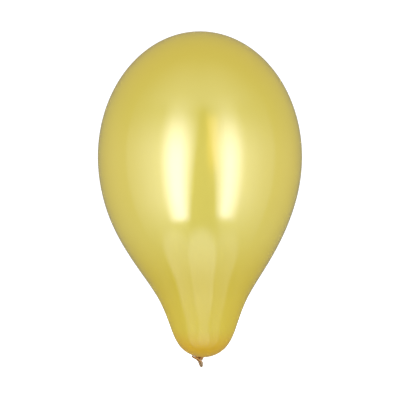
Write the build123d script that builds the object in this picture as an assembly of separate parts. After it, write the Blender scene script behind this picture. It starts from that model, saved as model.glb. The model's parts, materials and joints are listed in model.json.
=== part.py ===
from build123d import *
import math
import os

# A tied latex balloon: a blown-up envelope, its gathered neck, an overhand knot and the flattened tail.
# Frame: millimetres, origin in the middle of the tie groove round the neck, +Z up to the crown,
# +X and +Z in the plane of the flattened tail, +Y away from the side that the balloon is shown from.

# Driving dimensions of the envelope.
body_radius = 130.0          # radius of the widest circle
crown_height = 415.2         # top of the crown above the tie groove
widest_height = 255.7        # height of the widest circle
bulb_radius = 38.5           # round bulb at the lower end, where the film starts from the neck
bulb_bottom = 1.0            # lowest point of the bulb, if the neck did not interrupt it
film = 0.3                   # film thickness at the widest circle

# One smooth outline runs from the crown to the lowest point. Above the widest circle it follows a
# quarter of an ellipse, then a flank through points of known radius and height, then the round bulb.
crown_step = 15                                    # degrees between points of the ellipse
flank_points = [(119.5, 190.2), (99.5, 144.2), (76.0, 106.2), (57.0, 75.7), (44.2, 45.2)]
bulb_angles = (27, 48, 69)                         # degrees below the bulb's centre

# Neck.
neck_top_radius = 3.7        # where the gathers start, at the film of the bulb
tie_radius = 2.4             # the tie groove, the thinnest place of the neck
pivot_drop = 0.3             # the knot bends about a point this far under the tie groove
neck_inset = 1.0             # how far the gathers stand up inside the envelope

# Knot.
clearance = 0.3              # free space left where the latex flexes
knot_centre = (-1.0, 0.0, -3.2)
core_half_length = 3.6
core_radius = 2.6
loop_radius = 2.9            # centre line of the wrapped turn
strand_radius = 1.1
loop_lean = (20.0, -15.0)    # lean of the wrapped turn about X and about Y, degrees
rim_angle = 60.0             # how far the knot reaches up round the neck, degrees from straight down

# Tail and rolled lip.
lip_lean = 48.6              # the flattened mouth slopes down to +X by this many degrees
root_depth = 2.2             # the tail bends about a line this far from the knot's centre
tail_gap = 0.5               # the knot is flat this far behind that line
root_half_width = 2.6
lip_half_length = 8.7        # half the width of the flattened mouth
lip_reach = 2.8              # root line to the middle of the mouth
lip_hollow = 2.6             # how far the corners of the mouth stand out past its middle
bead_radius = 0.9
bead_gap = 0.02              # each strand of the bead lies this close to the film
tail_thickness = 0.6         # two layers of film

os.makedirs("parts", exist_ok=True)

pivot = Vector(0, 0, -pivot_drop)

# The tail's own axes: x along the flattened mouth, y out of the knot, z through the film.
lean = math.radians(lip_lean)
along_lip = Vector(math.cos(lean), 0, -math.sin(lean))
out_of_knot = Vector(-math.sin(lean), 0, -math.cos(lean))
tail_root = Vector(*knot_centre) + out_of_knot * root_depth
tail_place = Plane(origin=tail_root, x_dir=along_lip, z_dir=(0, 1, 0)).location


def balloon_of_revolution(scale):
    """The closed shape of the envelope, scaled about its middle height."""
    middle = crown_height / 2
    crown = [(0, crown_height)]
    for angle in range(90 - crown_step, -1, -crown_step):
        turn = math.radians(angle)
        rise = (crown_height - widest_height) * math.sin(turn)
        crown.append((body_radius * math.cos(turn), widest_height + rise))
    bulb = []
    for angle in bulb_angles:
        turn = math.radians(angle)
        bulb.append((bulb_radius * math.cos(turn), bulb_bottom + bulb_radius * (1 - math.sin(turn))))
    bulb.append((0, bulb_bottom))
    outline = [(x * scale, middle + (z - middle) * scale) for x, z in crown + flank_points + bulb]
    with BuildSketch(Plane.XZ) as half:
        with BuildLine():
            Spline(outline)
            Line(outline[-1], outline[0])
        make_face()
    return revolve(half.sketch, Axis.Z)


def make_envelope():
    """Hollow shell. The film is thicker at the crown and the neck, where it is stretched least."""
    hole = Cylinder(neck_top_radius, 4 * neck_top_radius)
    return balloon_of_revolution(1) - balloon_of_revolution(1 - film / body_radius) - hole


def make_neck():
    """Gathered neck: it plugs the envelope, narrows to the tie groove and ends in a round nose."""
    flare = neck_top_radius - tie_radius
    top = flare + neck_inset
    with BuildSketch(Plane.XZ) as half:
        with BuildLine():
            Polyline((0, top), (neck_top_radius, top), (neck_top_radius, flare))
            CenterArc((neck_top_radius, 0), flare, 90, 90)
            Line((tie_radius, 0), (tie_radius, -pivot_drop))
            CenterArc((0, -pivot_drop), tie_radius, 0, -90)
            Line((0, -pivot_drop - tie_radius), (0, top))
        make_face()
    return revolve(half.sketch, Axis.Z)


def make_flex_room():
    """The space that the knot leaves free round the neck's nose and beside the swinging tail."""
    size = 20.0
    socket_radius = tie_radius + clearance
    rim_height = pivot.Z - socket_radius * math.cos(math.radians(rim_angle))
    above_rim = Pos(0, 0, rim_height + size / 2) * Box(size, size, size)
    socket = Pos(pivot) * Sphere(socket_radius)
    beside_tail = tail_place * Pos(0, size / 2 - tail_gap, 0) * Box(size, size, size)
    return above_rim + socket + beside_tail


def make_knot():
    """The pulled-tight strand and the turn that is wrapped round it."""
    flex_room = make_flex_room()
    ring = Pos(knot_centre) * Rot(*loop_lean, 0) * Torus(loop_radius, strand_radius)
    with BuildSketch(Plane.XY) as half:
        with BuildLine():
            EllipticalCenterArc((0, 0), core_half_length, core_radius, arc_size=180)
            Line((-core_half_length, 0), (core_half_length, 0))
        make_face()
    core = Pos(knot_centre) * revolve(half.sketch, Axis.X)
    return core - ring - flex_room, ring - flex_room


def make_tail():
    """Two flat layers of film that fan out from the knot to the hollow mouth line, in the tail's own axes."""
    root = (root_half_width, tail_thickness / 2)
    corner = (lip_half_length, lip_reach + lip_hollow)
    with BuildSketch() as fan:
        with BuildLine():
            Polyline((-corner[0], corner[1]), (-root[0], root[1]), root, corner)
            ThreePointArc(corner, (0, lip_reach), (-corner[0], corner[1]))
        make_face()
    return extrude(fan.sketch, tail_thickness / 2, both=True)


def make_lip():
    """The rolled bead, in the tail's own axes: two strands along the mouth and a tight turn at each end."""
    across = lip_half_length
    along = lip_reach + lip_hollow
    depth = tail_thickness / 2 + bead_gap + bead_radius
    mouth_radius = (across**2 + lip_hollow**2) / (2 * lip_hollow)
    slope = math.asin(across / mouth_radius)
    turn_middle = (across + depth * math.cos(slope), along + depth * math.sin(slope))

    def strand(side, z):
        return ThreePointArc((-side * across, along, z), (0, lip_reach, z), (side * across, along, z))

    def end_turn(side, z):
        middle = (side * turn_middle[0], turn_middle[1], 0)
        return ThreePointArc((side * across, along, z), middle, (side * across, along, -z))

    front = strand(1, -depth)
    path = Wire([front, end_turn(1, -depth), strand(-1, depth), end_turn(-1, depth)])
    return sweep(Plane(origin=front @ 0, z_dir=front % 0) * Circle(bead_radius), path)


def write_parts():
    """One file for each piece."""
    knot_core, knot_loop = make_knot()
    parts = {
        "envelope": make_envelope(),
        "neck": make_neck(),
        "knot_core": knot_core,
        "knot_loop": knot_loop,
        "tail": tail_place * make_tail(),
        "rolled_lip": tail_place * make_lip(),
    }
    for name, part in parts.items():
        export_step(part, f"parts/{name}.step")


write_parts()
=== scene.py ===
import json
import math

import bmesh
import bpy
import numpy as np
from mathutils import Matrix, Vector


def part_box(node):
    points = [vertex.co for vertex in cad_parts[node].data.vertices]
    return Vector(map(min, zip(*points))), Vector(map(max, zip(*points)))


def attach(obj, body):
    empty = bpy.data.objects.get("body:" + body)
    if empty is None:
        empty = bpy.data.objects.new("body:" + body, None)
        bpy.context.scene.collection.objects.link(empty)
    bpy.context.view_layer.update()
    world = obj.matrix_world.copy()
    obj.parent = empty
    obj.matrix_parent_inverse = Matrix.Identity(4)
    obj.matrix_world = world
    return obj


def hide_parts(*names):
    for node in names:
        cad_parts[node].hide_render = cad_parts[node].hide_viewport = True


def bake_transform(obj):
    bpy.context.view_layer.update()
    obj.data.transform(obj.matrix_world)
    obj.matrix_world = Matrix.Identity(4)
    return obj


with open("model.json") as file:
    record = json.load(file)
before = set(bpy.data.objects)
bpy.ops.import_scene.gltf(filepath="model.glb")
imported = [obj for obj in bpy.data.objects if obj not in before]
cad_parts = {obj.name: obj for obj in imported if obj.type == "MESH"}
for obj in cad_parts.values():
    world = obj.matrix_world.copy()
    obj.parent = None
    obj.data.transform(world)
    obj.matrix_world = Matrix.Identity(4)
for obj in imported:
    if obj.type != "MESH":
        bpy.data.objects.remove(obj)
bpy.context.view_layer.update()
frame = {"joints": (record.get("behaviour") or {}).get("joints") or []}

# A tied pearl latex balloon, in the frame's metres. +Z runs up to the crown and +X to the right. The
# front is the -Y side. The knot hangs just under the origin, and the flattened tail points down to -X.

MM = 0.001
FULL_TURN = 2 * math.pi

# ---------------------------------------------------------------------------------------------------
# Driving sizes. Lengths are millimetres here; the meshes are turned into metres when they are made.
# A pair that goes to smoothstep or node_ramp says where the change starts and where it is complete.

skin_low, skin_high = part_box("envelope")
BODY_RADIUS = (skin_high.x - skin_low.x) / 2 / MM
CROWN = skin_high.z / MM
CROWN_STEP = 10                       # degrees between the outline's points on the crown
WIDEST = 255.7                        # height of the widest circle
FLANK = [(119.5, 190.2), (99.5, 144.2), (76.0, 106.2), (57.0, 75.7), (44.2, 45.2)]
BULB_RADIUS = 39.0                    # the round lower end
BULB_BOTTOM = 0.35                    # lowest point of the bulb
BULB_ANGLES = (27, 42, 57, 70, 79)    # degrees below the bulb's centre
FILM = 0.3
SHARP_EDGE = 70                       # degrees: the cut rims of the film stay sharp

# Mesh of the skin: points round each row, points down the outline, and every which one makes a row.
COLUMNS = 176
OUTLINE_POINTS = 1400
BODY_ROWS_APART = 9
FOOT_ROWS_APART = 2
FOOT = 12                             # the rows lie closer under this height
LOW_END = 20                          # the shapes at the tie reach no higher than this

# The body hangs a little out of plumb: its axis is at x = BODY_SHIFT high up and at BULB_SHIFT low down,
# and the last few millimetres are drawn over to the tie.
BODY_SHIFT = -3.5
BULB_SHIFT = 0.9
LEAN_HEIGHTS = (190, 30)
DRAWN_RADII = (11, 3.5)

# Neck: gathers that start on the bulb, get deeper at the tie and die away inside the knot.
NECK_RADIUS = 7.0                     # where the skin hands over to the gathered neck
TIE = (-1.5, 0.0, -0.5)               # middle of the tie groove
TIE_RADIUS = 2.0
NECK_LINE = [(4.0, 0.45), (2.6, 0.05), (TIE_RADIUS, TIE[2]), (1.72, -1.3), (1.0, -2.15)]
PLEATS = 11
PLEAT_DEPTH = 0.34
PLEAT_RADII = (15, 4)
TIE_PLEAT_DEPTH = 0.20
TIE_PLEAT_HEIGHTS = (1.2, -0.2)
PLEAT_END_RADII = (0.9, 2.0)
PLEAT_SAG = 0.5                       # a ridge hangs this share of its depth lower, outside the groove
GROOVE_RADIUS = 3.0

# Knot.
KNOT_EXIT = (-3.1, 0.0, -4.2)         # where the strand leaves the knot
STRAND_RADIUS = 0.72                  # half the distance that the pulled-tight strands keep
STRAND_SWELL = 0.96                   # radius of the strand, so that it is pressed into itself
STRAND_LENGTH = 19.0
FLUTES = [(5, 0.085, 5.0, 0.0), (9, 0.05, -7.0, 1.3)]   # how many, depth, twist and start in radians
NECK_FLARE = 0.9                      # the strand is this much thicker where it meets the neck
NECK_FLARE_SHARES = (0.10, 0.0)
TAIL_FLARE = 0.5                      # and this much where it opens into the tail
TAIL_FLARE_SHARES = (0.92, 1.0)
VOXEL = 0.085

# Rolled lip: a closed line through the middle of the bead. It starts at the upper left corner of the
# mouth, runs down the front to the tip, and comes back up behind.
BEAD_RADIUS = 0.95
LIP_LINE = [
    (-13.15, 0.10, 1.50),
    (-12.10, -1.15, 1.33),
    (-8.40, -1.40, 0.08),
    (-4.70, -1.60, -2.30),
    (-2.10, -1.50, -5.20),
    (-0.72, -1.20, -8.60),
    (-0.68, -0.75, -11.10),
    (-1.70, 0.20, -11.75),
    (-2.90, 1.05, -10.90),
    (-4.10, 1.25, -8.00),
    (-5.60, 1.25, -4.80),
    (-8.40, 1.25, -1.90),
    (-12.30, 1.10, 0.35),
]
LIP_POINTS = 180
BEAD_WAVES = [(3, 0.035, 0.6), (7, 0.025, 2.0)]         # how many, depth, start in radians
SCROLL_INNER = 0.95                   # radius of the rolled-up film, as a share, from its inner edge
SCROLL_GROWTH = 0.12                  # to the outer one
SCROLL_START = 0.9                    # radians past the side that faces the knot

# Slack film between the knot and the lip.
TAIL_FILM_THICKNESS = 0.22
TAIL_ROWS = 44
ROOT_INSIDE = 1.3                     # its rows start this far behind the tail's bending line
ROOT_HALF_WIDTH = 1.6
ROOT_HALF_DEPTH = 1.1
LEAVE = 0.55                          # how strongly it keeps its direction out of the knot
ARRIVE = 0.9                          # and its direction at the lip
RIGHT_BULGE = 1.5
RIGHT_SIDE = (0.25, 1.0)              # sides, from -1 at the upper left corner to +1 at the tip
LEFT_SIDE = (0.3, -0.7)
PLAIN_SIDE = (0.55, 0.95)             # the ripples die away towards both edges
UNDER_BULB = 0.40                     # the upper fold stays this far under the bulb

# The tail's directions: along the flattened mouth, and out of the knot.
LIP_LEAN = math.radians(48.6)
ALONG_LIP = np.array((math.cos(LIP_LEAN), 0, -math.sin(LIP_LEAN)))
OUT_OF_KNOT = np.array((-math.sin(LIP_LEAN), 0, -math.cos(LIP_LEAN)))
TAIL_JOINT = next(j for j in frame["joints"] if j["name"] == "tail_flap")
TAIL_ROOT = np.array(TAIL_JOINT["pos_m"]) / MM


# ---------------------------------------------------------------------------------------------------
# Curves and meshes.

def spline(points, count, closed=False):
    """Evenly spaced points of the cubic spline with continuous curvature through the given points."""
    points = np.asarray(points, float)
    lap = len(points)
    if closed:
        points = np.concatenate([points, points, points, points[:1]])
    at = np.concatenate([[0], np.cumsum(np.linalg.norm(np.diff(points, axis=0), axis=1))])
    gap = np.diff(at)
    n = len(points)
    system = np.eye(n)
    right = np.zeros_like(points)
    for i in range(1, n - 1):
        system[i, i - 1] = gap[i - 1]
        system[i, i] = 2 * (gap[i - 1] + gap[i])
        system[i, i + 1] = gap[i]
        right[i] = 6 * ((points[i + 1] - points[i]) / gap[i] - (points[i] - points[i - 1]) / gap[i - 1])
    second = np.linalg.solve(system, right)

    def evaluate(s):
        i = np.clip(np.searchsorted(at, s, side="right") - 1, 0, n - 2)
        h = gap[i][:, None]
        a = (at[i + 1] - s)[:, None]
        b = (s - at[i])[:, None]
        bend = second[i] * a**3 + second[i + 1] * b**3
        slope_a = points[i] / h - second[i] * h / 6
        slope_b = points[i + 1] / h - second[i + 1] * h / 6
        return bend / (6 * h) + slope_a * a + slope_b * b

    first, last = (at[lap], at[2 * lap]) if closed else (0, at[-1])
    dense = evaluate(np.linspace(first, last, 40 * count))
    run = np.concatenate([[0], np.cumsum(np.linalg.norm(np.diff(dense, axis=0), axis=1))])
    even = np.linspace(0, run[-1], count, endpoint=not closed)
    return np.stack([np.interp(even, run, dense[:, k]) for k in range(points.shape[1])], axis=1)


def smoothstep(low, high, value):
    t = np.clip((value - low) / (high - low), 0, 1)
    return t * t * (3 - 2 * t)


def unit(vectors):
    return vectors / np.linalg.norm(vectors, axis=-1, keepdims=True)


def carried_frames(line, closed=False):
    """Two crosswise directions at each point of a line, carried along it without twisting."""
    if closed:
        tangent = unit(np.roll(line, -1, axis=0) - np.roll(line, 1, axis=0))
    else:
        tangent = unit(np.gradient(line, axis=0))
    across = np.zeros_like(line)
    start = np.array((0.0, 1.0, 0.0))
    for i, direction in enumerate(tangent):
        start = start - direction * np.dot(start, direction)
        start = start / np.linalg.norm(start)
        across[i] = start
    return across, np.cross(tangent, across)


def rows_to_mesh(name, rows, round_line=False, close_start=False, close_end=False):
    """A surface through rows of points in millimetres. Each row closes on itself."""
    mesh = bpy.data.meshes.new(name)
    made = bmesh.new()
    rings = [[made.verts.new(p) for p in row] for row in rows]
    count = len(rings[0])
    for wanted, ring, row in ((close_start, rings[0], rows[0]), (close_end, rings[-1], rows[-1])):
        if wanted:
            tip = made.verts.new(np.mean(row, axis=0))
            for k in range(count):
                made.faces.new((tip, ring[k], ring[(k + 1) % count]))
    pairs = list(zip(rings, rings[1:]))
    if round_line:
        pairs.append((rings[-1], rings[0]))
    for upper, lower in pairs:
        for k in range(count):
            after = (k + 1) % count
            made.faces.new((upper[k], lower[k], lower[after], upper[after]))
    bmesh.ops.recalc_face_normals(made, faces=made.faces)
    made.to_mesh(mesh)
    made.free()
    piece = bpy.data.objects.new(name, mesh)
    bpy.context.scene.collection.objects.link(piece)
    return piece


def apply_modifiers(piece):
    bpy.context.view_layer.update()
    graph = bpy.context.evaluated_depsgraph_get()
    made = bpy.data.meshes.new_from_object(piece.evaluated_get(graph))
    piece.modifiers.clear()
    piece.data = made


def finish_mesh(piece):
    """From millimetres to metres, with smooth shading."""
    apply_modifiers(piece)
    mesh = piece.data
    for vertex in mesh.vertices:
        vertex.co = vertex.co * MM
    mesh.polygons.foreach_set("use_smooth", [True] * len(mesh.polygons))
    mesh.set_sharp_from_angle(angle=math.radians(SHARP_EDGE))
    mesh.update()


def thicken(piece, thickness):
    shell = piece.modifiers.new("film", "SOLIDIFY")
    shell.thickness = thickness
    shell.offset = -1


# ---------------------------------------------------------------------------------------------------
# The film of the balloon: one surface from the crown to the tie, cut into the skin and the neck.

def outline():
    """Radius and height along the film, from the crown over the flank and the bulb into the tie."""
    crown = []
    for angle in range(90, -1, -CROWN_STEP):
        turn = math.radians(angle)
        crown.append((BODY_RADIUS * math.cos(turn), WIDEST + (CROWN - WIDEST) * math.sin(turn)))
    bulb = []
    for angle in BULB_ANGLES:
        turn = math.radians(angle)
        bulb.append((BULB_RADIUS * math.cos(turn), BULB_BOTTOM + BULB_RADIUS * (1 - math.sin(turn))))
    over_crown = [(-r, z) for r, z in crown[3:0:-1]]
    curve = spline(over_crown + crown + FLANK + bulb + NECK_LINE, OUTLINE_POINTS)
    return curve[np.argmax(curve[:, 0] >= 0):]


def pleat(azimuth):
    """Uneven gathers round the neck: -0.6 in a crease, +1 on a ridge."""
    warp = azimuth + 0.10 * np.sin(2 * azimuth + 0.7) + 0.06 * np.sin(3 * azimuth + 2.1)
    wave = np.cos(PLEATS * warp)
    return 1.0 - 1.6 * np.abs((1 - wave) / 2) ** 1.8


def film_point(radius, height, azimuth):
    """A point of the film. The body leans a little, and the film gathers into pleats near the tie."""
    low_end = height < LOW_END
    lean = BODY_SHIFT + (BULB_SHIFT - BODY_SHIFT) * smoothstep(*LEAN_HEIGHTS, height)
    drawn = smoothstep(*DRAWN_RADII, radius) * low_end
    lean = lean * (1 - drawn) + TIE[0] * drawn
    depth = PLEAT_DEPTH * smoothstep(*PLEAT_RADII, radius) * low_end
    depth = depth + TIE_PLEAT_DEPTH * smoothstep(*TIE_PLEAT_HEIGHTS, height)
    depth = depth * smoothstep(*PLEAT_END_RADII, radius)
    shaped = radius + depth * pleat(azimuth)
    x = lean + shaped * np.cos(azimuth)
    y = shaped * np.sin(azimuth)
    z = height - PLEAT_SAG * depth * pleat(azimuth) * (radius > GROOVE_RADIUS)
    return np.stack([x, y, z], axis=-1)


def film_rows(section):
    azimuths = np.linspace(0, FULL_TURN, COLUMNS, endpoint=False)
    return [film_point(r, z, azimuths) for r, z in section]


def make_film(curve):
    """The blown-up skin and the gathered neck. They meet edge to edge, on the same ring of points."""
    low_end = curve[:, 1] < LOW_END
    meeting = np.argmax(low_end & (curve[:, 0] < NECK_RADIUS))
    wide = curve[:meeting]
    body = wide[wide[:, 1] > FOOT][BODY_ROWS_APART - 1::BODY_ROWS_APART]
    foot = wide[wide[:, 1] <= FOOT][::FOOT_ROWS_APART]
    section = np.concatenate([body, foot, curve[meeting:meeting + 1]])
    skin = rows_to_mesh("balloon_skin", film_rows(section), close_start=True)
    neck = rows_to_mesh("gathered_neck", film_rows(curve[meeting:]))
    for piece in (skin, neck):
        thicken(piece, FILM)
        finish_mesh(piece)
    return skin, neck


# ---------------------------------------------------------------------------------------------------
# The knot: a loose overhand knot in the neck is pulled tight until its strands press on each other.

def tighten_knot(count=121, steps=900):
    """The centre line of the strand, from the tie to the exit."""
    pulled_by = 0.6 * steps           # the strand has its final length from this step on
    stretch_passes = 6
    stretch_share = 0.25              # shares of an error that one pass or step puts right
    push_share = 0.06
    bend_share = 0.10
    top = np.array(TIE)
    end = np.array(KNOT_EXIT)
    turn = np.linspace(-2.1, 2.1, count)
    loose = np.stack([turn**3 - 3 * turn, turn**4 - 4 * turn**2 + 2, turn**5 - 10 * turn], axis=1)
    loose = loose * (1.0, 1.0, -0.27)
    through = unit(end - top)
    front = np.array((0.0, 1.0, 0.0))
    side = unit(np.cross(through, front))
    line = (top + end) / 2 + loose @ np.stack([side, front, through])
    line = line[::-1] if np.dot(line[0] - line[-1], through) > 0 else line
    line = line.copy()
    loose_length = np.linalg.norm(np.diff(line, axis=0), axis=1).sum()
    first = line[0].copy()
    last = line[-1].copy()
    index = np.arange(count)
    steps_between = np.abs(index[:, None] - index[None, :])
    for step in range(steps):
        pulled = min(1.0, step / pulled_by)
        gap = (loose_length + (STRAND_LENGTH - loose_length) * pulled) / (count - 1)
        held_first = first + (top - first) * pulled
        held_last = last + (end - last) * pulled
        for _ in range(stretch_passes):
            run = np.diff(line, axis=0)
            length = np.linalg.norm(run, axis=1, keepdims=True)
            move = stretch_share * (length - gap) / length * run
            line[:-1] += move
            line[1:] -= move
            line[0] = held_first
            line[-1] = held_last
        apart = line[:, None] - line[None]
        distance = np.linalg.norm(apart, axis=2) + 1e-9
        not_next = steps_between * gap > 3.0 * STRAND_RADIUS
        pressed = not_next & (distance < 2 * STRAND_RADIUS)
        push = np.where(pressed, (2 * STRAND_RADIUS - distance) / distance, 0)
        line += push_share * (push[..., None] * apart).sum(1)
        line[1:-1] += bend_share * ((line[:-2] + line[2:]) / 2 - line[1:-1])
        line[0] = held_first
        line[-1] = held_last
    return line


def make_knot():
    """A fluted tube along the tightened line, merged into one skin where it touches itself."""
    line = spline(tighten_knot()[::4], 150)
    across, beside = carried_frames(line)
    around = np.linspace(0, FULL_TURN, 56, endpoint=False)
    rows = []
    for i, centre in enumerate(line):
        share = i / (len(line) - 1)
        flute = 0
        for count, depth, twist, start in FLUTES:
            flute = flute + depth * np.cos(count * around + twist * share + start)
        radius = STRAND_SWELL * (1 + flute)
        radius = radius + NECK_FLARE * smoothstep(*NECK_FLARE_SHARES, share)
        radius = radius + TAIL_FLARE * smoothstep(*TAIL_FLARE_SHARES, share)
        ring = np.cos(around)[:, None] * across[i] + np.sin(around)[:, None] * beside[i]
        rows.append(centre + radius[:, None] * ring)
    knot = rows_to_mesh("overhand_knot", rows, close_start=True, close_end=True)
    merge = knot.modifiers.new("merge", "REMESH")
    merge.mode = "VOXEL"
    merge.voxel_size = VOXEL
    soften = knot.modifiers.new("soften", "SMOOTH")
    soften.factor = 0.5
    soften.iterations = 3
    finish_mesh(knot)
    return knot


# ---------------------------------------------------------------------------------------------------
# The tail: two layers of slack film that open from the knot to the rolled lip.

def left_underside(curve, x):
    """Height of the skin's lowest side above a place to the left of the tie, in the middle plane."""
    low_end = curve[(curve[:, 1] < FOOT) & (curve[:, 0] > GROOVE_RADIUS)]
    left = np.array([film_point(r, z, math.pi) for r, z in low_end])
    return np.interp(x, left[:, 0], left[:, 2])


def hermite(t, start, leave, end, arrive):
    """Points at share t of smooth arcs with given ends and end directions."""
    from_start = (2 * t**3 - 3 * t**2 + 1) * start + (t**3 - 2 * t**2 + t) * leave
    return from_start + (-2 * t**3 + 3 * t**2) * end + (t**3 - t**2) * arrive


def make_tail(lip, curve):
    """A flattened trumpet. Its rows start inside the knot and end in the middle of the bead."""
    centre = TAIL_ROOT - ROOT_INSIDE * OUT_OF_KNOT
    along = (lip - TAIL_ROOT) @ ALONG_LIP
    middle = (along.max() + along.min()) / 2
    half = (along.max() - along.min()) / 2
    side = np.clip((along - middle) / half, -1, 1)
    depth = lip[:, 1]
    turn = np.arctan2(depth / np.abs(depth).max(), side)
    root = centre + ROOT_HALF_WIDTH * np.cos(turn)[:, None] * ALONG_LIP
    root[:, 1] = ROOT_HALF_DEPTH * np.sin(turn)
    reach = np.linalg.norm(lip - root, axis=1)
    leave = LEAVE * reach[:, None] * OUT_OF_KNOT
    arrive = ARRIVE * unit(lip - centre) * reach[:, None]
    azimuth = np.linspace(0, FULL_TURN, len(lip), endpoint=False)
    ripple = 0.16 * np.sin(13 * azimuth + 1.5 * np.sin(2 * azimuth)) + 0.08 * np.sin(23 * azimuth + 0.8)
    ripple = ripple * (1 - smoothstep(*PLAIN_SIDE, np.abs(side)))
    rows = []
    for t in np.linspace(0, 1, TAIL_ROWS):
        row = hermite(t, root, leave, lip, arrive)
        swell = math.sin(math.pi * t) ** 0.8
        row[:, 0] += RIGHT_BULGE * swell * smoothstep(*RIGHT_SIDE, side)
        under_bulb = left_underside(curve, row[:, 0]) - UNDER_BULB
        row[:, 2] += swell * smoothstep(*LEFT_SIDE, side) * np.maximum(under_bulb - row[:, 2], 0)
        row[:, 1] += math.sin(math.pi * min(1.0, t * 1.15)) ** 0.7 * (1 - t) ** 0.3 * ripple
        rows.append(row)
    tail = rows_to_mesh("tail_film", rows, close_start=True)
    thicken(tail, TAIL_FILM_THICKNESS)
    finish_mesh(tail)
    return tail


def make_lip(lip):
    """The bead is the film rolled up, so its section is a scroll with one small step."""
    across, beside = carried_frames(lip, closed=True)
    around = np.linspace(0, FULL_TURN, 40, endpoint=False)
    inward = unit(TAIL_ROOT - lip)
    rows = []
    for i, centre in enumerate(lip):
        facing = math.atan2(np.dot(inward[i], beside[i]), np.dot(inward[i], across[i]))
        lap = FULL_TURN * i / len(lip)
        uneven = 1 + sum(depth * math.sin(n * lap + start) for n, depth, start in BEAD_WAVES)
        scroll = ((around - facing - SCROLL_START) % FULL_TURN) / FULL_TURN
        radius = BEAD_RADIUS * uneven * (SCROLL_INNER + SCROLL_GROWTH * scroll)
        ring = np.cos(around)[:, None] * across[i] + np.sin(around)[:, None] * beside[i]
        rows.append(centre + radius[:, None] * ring)
    bead = rows_to_mesh("rolled_lip_bead", rows, round_line=True)
    finish_mesh(bead)
    return bead


# ---------------------------------------------------------------------------------------------------
# Materials.

def node_math(tree, operation, *values):
    node = tree.nodes.new("ShaderNodeMath")
    node.operation = operation
    for socket, value in zip(node.inputs, values):
        if hasattr(value, "is_linked"):
            tree.links.new(value, socket)
        else:
            socket.default_value = value
    return node.outputs[0]


def node_ramp(tree, value, low, high, smooth=True):
    node = tree.nodes.new("ShaderNodeMapRange")
    node.interpolation_type = "SMOOTHSTEP" if smooth else "LINEAR"
    tree.links.new(value, node.inputs["Value"])
    node.inputs["From Min"].default_value = low
    node.inputs["From Max"].default_value = high
    return node.outputs["Result"]


def node_mix(tree, factor, first, second):
    node = tree.nodes.new("ShaderNodeMix")
    node.data_type = "RGBA"
    colour_inputs = [s for s in node.inputs if s.type == "RGBA"]
    for socket, value in zip(colour_inputs, (first, second)):
        if hasattr(value, "is_linked"):
            tree.links.new(value, socket)
        else:
            socket.default_value = (*value, 1.0)
    tree.links.new(factor, node.inputs[0])
    return [s for s in node.outputs if s.type == "RGBA"][0]


def object_place(tree):
    """The place on the object, whole and as x, y and z."""
    place = tree.nodes.new("ShaderNodeTexCoord").outputs["Object"]
    split = tree.nodes.new("ShaderNodeSeparateXYZ")
    tree.links.new(place, split.inputs[0])
    return place, split.outputs


def node_noise(tree, place, scale, detail):
    node = tree.nodes.new("ShaderNodeTexNoise")
    node.inputs["Scale"].default_value = scale
    node.inputs["Detail"].default_value = detail
    tree.links.new(place, node.inputs["Vector"])
    return node.outputs["Fac"]


def ramp_mm(tree, length, low, high):
    """node_ramp between two lengths in millimetres."""
    return node_ramp(tree, length, low * MM, high * MM)


# Colours of the film: how far it is stretched, and painted shade where other parts shade it.
STRETCHED = (0.615, 0.535, 0.078)
CROWN_TINT = (0.635, 0.510, 0.062)
LOW_TINT = (0.585, 0.468, 0.025)
SLACK = (0.610, 0.370, 0.005)
GATHERED = (0.660, 0.310, 0.025)
SHADED = (0.235, 0.090, 0.006)
# Painted shadow of the mouth on the bulb.
MOUTH_SHADOW = (0.255, 0.085, 0.003)
KNOTTED = (0.360, 0.195, 0.035)
# Painted shade of the small creases in slack latex.
CREASE_SHADE = (0.270, 0.140, 0.020)
# Olive brown of the tail film, darkened with painted shade.
SHADED_TAIL_FILM = (0.260, 0.140, 0.026)
LIP_TOP = (0.560, 0.270, 0.045)
LIP_TIP = (0.230, 0.155, 0.065)
# Painted shade of the lip's back strand and corner.
LIP_SHADE = (0.200, 0.105, 0.022)

# Where one colour goes over to the next, in millimetres.
CROWN_HEIGHTS = (300, 400)
LOW_HEIGHTS = (170, 90)
SLACK_HEIGHTS = (42, 6)
GATHERED_FROM_TIE = (15, 4)
SHADED_FROM_TIE = (4.2, 2.2)
MOUTH_SHADOW_ABOVE_BULB = (1.9, 0.9)        # painted shadow of the mouth, on the strip of the bulb that it lies against, on the front
MOUTH_SHADOW_RIGHT = (-0.2, -2.0)
MOUTH_SHADOW_LEFT = (-12.0, -9.0)
MOUTH_SHADOW_BACK = (3.0, -1.0)
GLOSS_HEIGHTS = (45, 105)             # the gloss is stronger where the film is stretched
LEAST_GLOSS = 0.7


def latex(name, roughness, coat_roughness, coat_weight, tint):
    """Pearl latex. tint makes the colour socket from the tree and the place on the object."""
    flake_scale = 1400.0
    flake_roughness = 0.08
    material = bpy.data.materials.new(name)
    material.use_nodes = True
    tree = material.node_tree
    shader = tree.nodes["Principled BSDF"]
    place, xyz = object_place(tree)
    tree.links.new(tint(tree, place, xyz), shader.inputs["Base Color"])
    shader.inputs["IOR"].default_value = 1.52
    shader.inputs["Specular IOR Level"].default_value = 0.2
    shader.inputs["Coat Weight"].default_value = coat_weight
    shader.inputs["Coat Roughness"].default_value = coat_roughness
    shader.inputs["Coat IOR"].default_value = 1.5
    flakes = node_noise(tree, place, flake_scale, 2.0)
    rough = node_math(tree, "MULTIPLY_ADD", flakes, flake_roughness, roughness - flake_roughness / 2)
    tree.links.new(rough, shader.inputs["Roughness"])
    bump = tree.nodes.new("ShaderNodeBump")
    bump.inputs["Strength"].default_value = 0.06
    bump.inputs["Distance"].default_value = 0.2 * MM
    tree.links.new(flakes, bump.inputs["Height"])
    tree.links.new(bump.outputs["Normal"], shader.inputs["Normal"])
    return material


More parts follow.
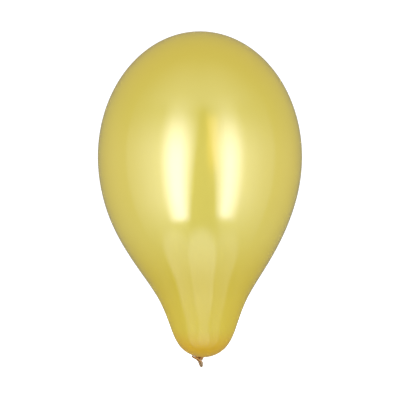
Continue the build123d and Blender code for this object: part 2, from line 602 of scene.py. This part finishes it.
def skin_tint(tree, place, xyz):
    """Pale where the film is stretched, deeper at the crown, orange where it gathers at the tie. Painted
    shade darkens the tie groove and, on the front, the strip of the bulb under the mouth.
    """
    x, y, height = xyz
    body = node_mix(tree, ramp_mm(tree, height, *CROWN_HEIGHTS), STRETCHED, CROWN_TINT)
    clouds = node_math(tree, "MULTIPLY", node_noise(tree, place, 9.0, 3.0), 0.10)
    body = node_mix(tree, clouds, body, CROWN_TINT)
    body = node_mix(tree, ramp_mm(tree, height, *LOW_HEIGHTS), body, LOW_TINT)
    body = node_mix(tree, ramp_mm(tree, height, *SLACK_HEIGHTS), body, SLACK)
    from_tie = tree.nodes.new("ShaderNodeVectorMath")
    from_tie.operation = "DISTANCE"
    tree.links.new(place, from_tie.inputs[0])
    from_tie.inputs[1].default_value = [v * MM for v in TIE]
    distance = from_tie.outputs["Value"]
    body = node_mix(tree, ramp_mm(tree, distance, *GATHERED_FROM_TIE), body, GATHERED)
    # Painted shade in the tie groove, under the bulb.
    body = node_mix(tree, ramp_mm(tree, distance, *SHADED_FROM_TIE), body, SHADED)

    # A circle's height above its lowest point is nearly the square of the way sideways over its diameter.
    sideways = node_math(tree, "SUBTRACT", x, BULB_SHIFT * MM)
    share = node_math(tree, "DIVIDE", sideways, 2 * BULB_RADIUS * MM)
    above_bulb = node_math(tree, "SUBTRACT", height, node_math(tree, "MULTIPLY", sideways, share))
    # Painted shadow of the mouth: a dark brown patch on the front of the bulb, where the mouth lies against
    # it.
    painted_shade = ramp_mm(tree, above_bulb, *MOUTH_SHADOW_ABOVE_BULB)
    for place_on_axis, limits in ((x, MOUTH_SHADOW_RIGHT), (x, MOUTH_SHADOW_LEFT), (y, MOUTH_SHADOW_BACK)):
        painted_shade = node_math(tree, "MULTIPLY", painted_shade, ramp_mm(tree, place_on_axis, *limits))
    return node_mix(tree, painted_shade, body, MOUTH_SHADOW)


def add_crease_shade(tree, place, colour):
    """Darker blotches of painted shade, standing in for the shade of the small creases in slack latex."""
    crease_shade_mask = node_ramp(tree, node_noise(tree, place, 420.0, 3.0), 0.42, 0.72)
    return node_mix(tree, node_math(tree, "MULTIPLY", crease_shade_mask, 0.5), colour, CREASE_SHADE)


def knot_tint(tree, place, xyz):
    """Olive brown, with painted shade at its top, darkest in the groove under the bulb."""
    colour = node_mix(tree, ramp_mm(tree, xyz[2], -1.6, -0.6), KNOTTED, SHADED)
    return add_crease_shade(tree, place, colour)


def film_tint(tree, place, xyz):
    """The film behind the rolled lip: olive brown, darkened with painted shade for the lip and the bulb,
    and darkest at its top.
    """
    colour = node_mix(tree, ramp_mm(tree, xyz[2], -2.5, -0.8), SHADED_TAIL_FILM, SHADED)
    return add_crease_shade(tree, place, colour)


def lip_tint(tree, place, xyz):
    """Orange at the top of the mouth, grey brown at its tip. Painted shade darkens it behind, at its
    corner, and at its top by the knot, under the bulb.
    """
    x, y, z = xyz
    colour = node_mix(tree, ramp_mm(tree, z, -2.0, -8.0), LIP_TOP, LIP_TIP)
    # Painted shade on the back strand and on the upper left corner.
    colour = node_mix(tree, ramp_mm(tree, y, -0.4, 0.9), colour, LIP_SHADE)
    colour = node_mix(tree, ramp_mm(tree, x, -10.8, -12.4), colour, LIP_SHADE)
    # Painted shade along the top of the lip, where it lies under the bulb.
    slope = node_math(tree, "MULTIPLY_ADD", x, 0.2, z)
    painted_shade = ramp_mm(tree, slope, -1.45, -0.75)
    painted_shade = node_math(tree, "MULTIPLY", painted_shade, ramp_mm(tree, x, -12, -8.5))
    colour = node_mix(tree, painted_shade, colour, SHADED)
    return add_crease_shade(tree, place, colour)


def pearl_latex():
    """The skin's own material: clearest gloss, weaker where the film is slack, and a warm sheen."""
    material = latex("pearl_latex", 0.42, 0.08, 1.0, skin_tint)
    tree = material.node_tree
    shader = tree.nodes["Principled BSDF"]
    shader.inputs["Sheen Weight"].default_value = 0.15
    shader.inputs["Sheen Roughness"].default_value = 0.4
    shader.inputs["Sheen Tint"].default_value = (1.0, 0.72, 0.25, 1.0)
    height = object_place(tree)[1][2]
    stretched = ramp_mm(tree, height, *GLOSS_HEIGHTS)
    weight = node_math(tree, "MULTIPLY_ADD", stretched, 1 - LEAST_GLOSS, LEAST_GLOSS)
    tree.links.new(weight, shader.inputs["Coat Weight"])
    return material


def dress(piece, material):
    piece.data.materials.clear()
    piece.data.materials.append(material)


# ---------------------------------------------------------------------------------------------------
# Studio: surroundings, floor and camera.

# What the gloss of the film mirrors: a dim dome with soft-edged bright patches on it. Azimuths are
# counted from the front and elevations from the level, both in degrees and seen from the dome's centre.
DOME_RADIUS = 0.75
DOME_CENTRE = 0.25
DOME_LEVEL = 0.20
DOME_LIGHT = (0.90, 0.93, 1.0)

# Two tall windows with paler walls beside them: outer edge, where it is full, four heights, strength.
# Four heights, or four azimuths, say where a patch starts, is full, is full no longer, and ends.
LEFT_HEIGHT = (-43.5, -37.5, -5, 46)
RIGHT_HEIGHT = (-41.5, -35, -5, 46)
WALL_HEIGHT = (-58, -22, 0, 50)
WINDOWS = [
    (-44, -26, LEFT_HEIGHT, 12.0),
    (50, 30, RIGHT_HEIGHT, 10.2),
    (-84, -38, WALL_HEIGHT, 2.9),
    (84, 38, WALL_HEIGHT, 2.7),
    (-86, -79, WALL_HEIGHT, 0.8),
    (88, 81, WALL_HEIGHT, 0.9),
]
# They leave a dark wedge between them, which gets wider downwards. Its soft edges lie this far from its
# middle at the level of the dome's centre, and move by so many degrees for each degree of elevation.
WEDGE_MIDDLE = 3.5
WEDGE_EDGE = 7.0
WEDGE_EDGE_MOVE = -0.18
WEDGE_SOFT = 16.5
WEDGE_SOFT_MOVE = 0.15

# The other plain patches: four azimuths, four heights, strength.
PATCHES = [
    ((-130, -86, 86, 130), (-70, -50, 0, 28), 0.4),
    ((-92, -20, 20, 92), (28, 42, 42, 88), 1.7),
]
# Three round-topped patches low down: middle azimuth, half width, height, rise to the top, strength.
PETALS = [
    (2, 38, -74, 28, 2.9),
    (-44, 34, -68, 23, 1.8),
    (47, 32, -66, 21, 1.25),
]
PETAL_SOFT = (1.16, 0.78)             # shares of their size over which they fade in
PETAL_FADE = (-86, -60)
WARM_PATCH = ((5, 9, 14, 22), (-15, 0, 24, 33), 3.4)
WARM = (1.0, 0.58, 0.02)


def make_dome():
    """Only glossy rays see the dome: two tall windows to the front, and dimmer patches round them."""
    mesh = bpy.data.meshes.new("light_dome")
    made = bmesh.new()
    bmesh.ops.create_icosphere(made, subdivisions=4, radius=DOME_RADIUS)
    made.to_mesh(mesh)
    made.free()
    dome = bpy.data.objects.new("light_dome", mesh)
    dome.location = (0, 0, DOME_CENTRE)
    bpy.context.scene.collection.objects.link(dome)
    material = bpy.data.materials.new("dome_light")
    material.use_nodes = True
    material.cycles.emission_sampling = "NONE"
    mesh.materials.append(material)
    tree = material.node_tree
    tree.nodes.clear()
    x, y, z = object_place(tree)[1]
    toward = node_math(tree, "MULTIPLY", y, -1.0)
    azimuth = node_math(tree, "DEGREES", node_math(tree, "ARCTAN2", x, toward))
    sine = node_math(tree, "DIVIDE", z, DOME_RADIUS)
    elevation = node_math(tree, "DEGREES", node_math(tree, "ARCSINE", sine))
    from_wedge = node_math(tree, "ABSOLUTE", node_math(tree, "SUBTRACT", azimuth, WEDGE_MIDDLE))
    wedge_edge = node_math(tree, "MULTIPLY_ADD", elevation, WEDGE_EDGE_MOVE, WEDGE_EDGE)
    wedge_soft = node_math(tree, "MULTIPLY_ADD", elevation, WEDGE_SOFT_MOVE, WEDGE_SOFT)
    beyond_edge = node_math(tree, "SUBTRACT", from_wedge, wedge_edge)
    beyond_edge = node_math(tree, "DIVIDE", beyond_edge, wedge_soft)
    beside_wedge = node_ramp(tree, beyond_edge, 0, 1, smooth=False)

    def heights(low, low_in, high_in, high):
        rise = node_ramp(tree, elevation, low, low_in)
        return node_math(tree, "MULTIPLY", rise, node_ramp(tree, elevation, high, high_in))

    def patch(sideways, upwards):
        left, left_in, right_in, right = sideways
        rise = node_ramp(tree, azimuth, left, left_in)
        across = node_math(tree, "MULTIPLY", rise, node_ramp(tree, azimuth, right, right_in))
        return node_math(tree, "MULTIPLY", across, heights(*upwards))

    light = DOME_LEVEL
    for outer, full, upwards, strength in WINDOWS:
        own_side = node_ramp(tree, azimuth, WEDGE_MIDDLE, WEDGE_MIDDLE + math.copysign(1, outer))
        across = node_math(tree, "MULTIPLY", node_ramp(tree, azimuth, outer, full), own_side)
        across = node_math(tree, "MULTIPLY", across, beside_wedge)
        window = node_math(tree, "MULTIPLY", across, heights(*upwards))
        light = node_math(tree, "MULTIPLY_ADD", window, strength, light)
    for sideways, upwards, strength in PATCHES:
        light = node_math(tree, "MULTIPLY_ADD", patch(sideways, upwards), strength, light)
    petals = 0.0
    for middle, half_width, height, half_height, strength in PETALS:
        across = node_math(tree, "DIVIDE", node_math(tree, "SUBTRACT", azimuth, middle), half_width)
        upward = node_math(tree, "DIVIDE", node_math(tree, "SUBTRACT", elevation, height), half_height)
        upward = node_math(tree, "MAXIMUM", upward, 0.0)
        square = node_math(tree, "MULTIPLY", upward, upward)
        square = node_math(tree, "MULTIPLY_ADD", across, across, square)
        inside = node_ramp(tree, node_math(tree, "SQRT", square), *PETAL_SOFT)
        petals = node_math(tree, "MAXIMUM", node_math(tree, "MULTIPLY", inside, strength), petals)
    petals = node_math(tree, "MULTIPLY", petals, node_ramp(tree, elevation, *PETAL_FADE))
    light = node_math(tree, "ADD", light, petals)
    white = tree.nodes.new("ShaderNodeEmission")
    white.inputs["Color"].default_value = (*DOME_LIGHT, 1.0)
    tree.links.new(light, white.inputs["Strength"])
    warm = tree.nodes.new("ShaderNodeEmission")
    warm.inputs["Color"].default_value = (*WARM, 1.0)
    sideways, upwards, strength = WARM_PATCH
    warm_light = node_math(tree, "MULTIPLY", patch(sideways, upwards), strength)
    tree.links.new(warm_light, warm.inputs["Strength"])
    both = tree.nodes.new("ShaderNodeAddShader")
    tree.links.new(white.outputs[0], both.inputs[0])
    tree.links.new(warm.outputs[0], both.inputs[1])
    result = tree.nodes.new("ShaderNodeOutputMaterial")
    tree.links.new(both.outputs[0], result.inputs["Surface"])
    dome.visible_camera = False
    dome.visible_diffuse = False
    dome.visible_transmission = False
    dome.visible_shadow = False


MIDDLE_FILL = (0.95, 1.01, 0.98)
SIDE_FILL = (1.38, 1.17, 1.12)
SIDE_SHARES = (0.3, 0.95)             # sideways share of a direction that counts as middle or side
BACKDROP = (1.2, 1.2, 1.2)


def make_surroundings():
    """A white backdrop, and a soft fill for the film's own colour, a little warmer from the sides."""
    world = bpy.data.worlds.new("studio")
    bpy.context.scene.world = world
    world.use_nodes = True
    tree = world.node_tree
    background = tree.nodes["Background"]
    direction = tree.nodes.new("ShaderNodeTexCoord").outputs["Generated"]
    split = tree.nodes.new("ShaderNodeSeparateXYZ")
    tree.links.new(direction, split.inputs[0])
    sideways = node_ramp(tree, node_math(tree, "ABSOLUTE", split.outputs["X"]), *SIDE_SHARES)
    fill = node_mix(tree, sideways, MIDDLE_FILL, SIDE_FILL)
    camera_ray = tree.nodes.new("ShaderNodeLightPath").outputs["Is Camera Ray"]
    seen = node_mix(tree, camera_ray, fill, BACKDROP)
    tree.links.new(seen, background.inputs["Color"])


FLOOR_HEIGHT = -0.30
FLOOR_RADIUS = 6.0
FLOOR_GLOW = 0.6                      # it fades into the backdrop from the middle outwards
FLOOR_GLOW_RADII = (0.35, 1.3)


def make_floor():
    """A pale disc well under the balloon."""
    mesh = bpy.data.meshes.new("floor")
    made = bmesh.new()
    bmesh.ops.create_circle(made, cap_ends=True, segments=96, radius=FLOOR_RADIUS)
    bmesh.ops.translate(made, verts=made.verts, vec=(0, 0, FLOOR_HEIGHT))
    made.to_mesh(mesh)
    made.free()
    floor = bpy.data.objects.new("floor", mesh)
    bpy.context.scene.collection.objects.link(floor)
    material = bpy.data.materials.new("pale_floor")
    material.use_nodes = True
    tree = material.node_tree
    shader = tree.nodes["Principled BSDF"]
    shader.inputs["Base Color"].default_value = (0.9, 0.9, 0.9, 1)
    shader.inputs["Roughness"].default_value = 0.9
    shader.inputs["Specular IOR Level"].default_value = 0.0
    place = tree.nodes.new("ShaderNodeTexCoord").outputs["Object"]
    length = tree.nodes.new("ShaderNodeVectorMath")
    length.operation = "LENGTH"
    tree.links.new(place, length.inputs[0])
    glow = node_ramp(tree, length.outputs["Value"], *FLOOR_GLOW_RADII)
    glow = node_math(tree, "MULTIPLY", glow, FLOOR_GLOW)
    shader.inputs["Emission Color"].default_value = (1, 1, 1, 1)
    tree.links.new(glow, shader.inputs["Emission Strength"])
    mesh.materials.append(material)
    floor.visible_glossy = False
    floor.visible_diffuse = False


VIEW_WIDTH = 510
VIEW_CENTRE = (-3.4, 200.7)           # x and z of the middle of the picture


def make_camera():
    """Level with the middle of the picture, straight along +Y, through a long lens."""
    camera = bpy.data.objects.new("camera", bpy.data.cameras.new("camera"))
    camera.data.sensor_width = 36
    camera.data.lens = 135
    distance = VIEW_WIDTH * MM * camera.data.lens / camera.data.sensor_width
    camera.location = (VIEW_CENTRE[0] * MM, -distance, VIEW_CENTRE[1] * MM)
    camera.rotation_euler = (math.radians(90), 0, 0)
    camera.data.clip_end = 50
    bpy.context.scene.collection.objects.link(camera)
    bpy.context.scene.camera = camera


# ---------------------------------------------------------------------------------------------------
# The pieces, their materials, and the bodies that they follow.

curve = outline()
lip_line = spline(LIP_LINE, LIP_POINTS, closed=True)
skin, neck = make_film(curve)
knot = make_knot()
tail = make_tail(lip_line, curve)
lip = make_lip(lip_line)

pearl = pearl_latex()
knotted = latex("knotted_latex", 0.42, 0.20, 1.0, knot_tint)
slack = latex("slack_latex", 0.55, 0.34, 0.25, film_tint)
rolled = latex("rolled_latex", 0.45, 0.26, 0.7, lip_tint)
for piece, material in ((skin, pearl), (neck, pearl), (knot, knotted), (tail, slack), (lip, rolled)):
    dress(piece, material)

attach(skin, "envelope")
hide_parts("envelope")
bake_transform(neck)
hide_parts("neck")
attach(knot, "knot")
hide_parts("knot_core", "knot_loop")
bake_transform(tail)
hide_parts("tail")
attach(lip, "tail")
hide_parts("rolled_lip")

make_surroundings()
make_dome()
make_floor()
make_camera()
bpy.context.scene.view_settings.view_transform = "Standard"
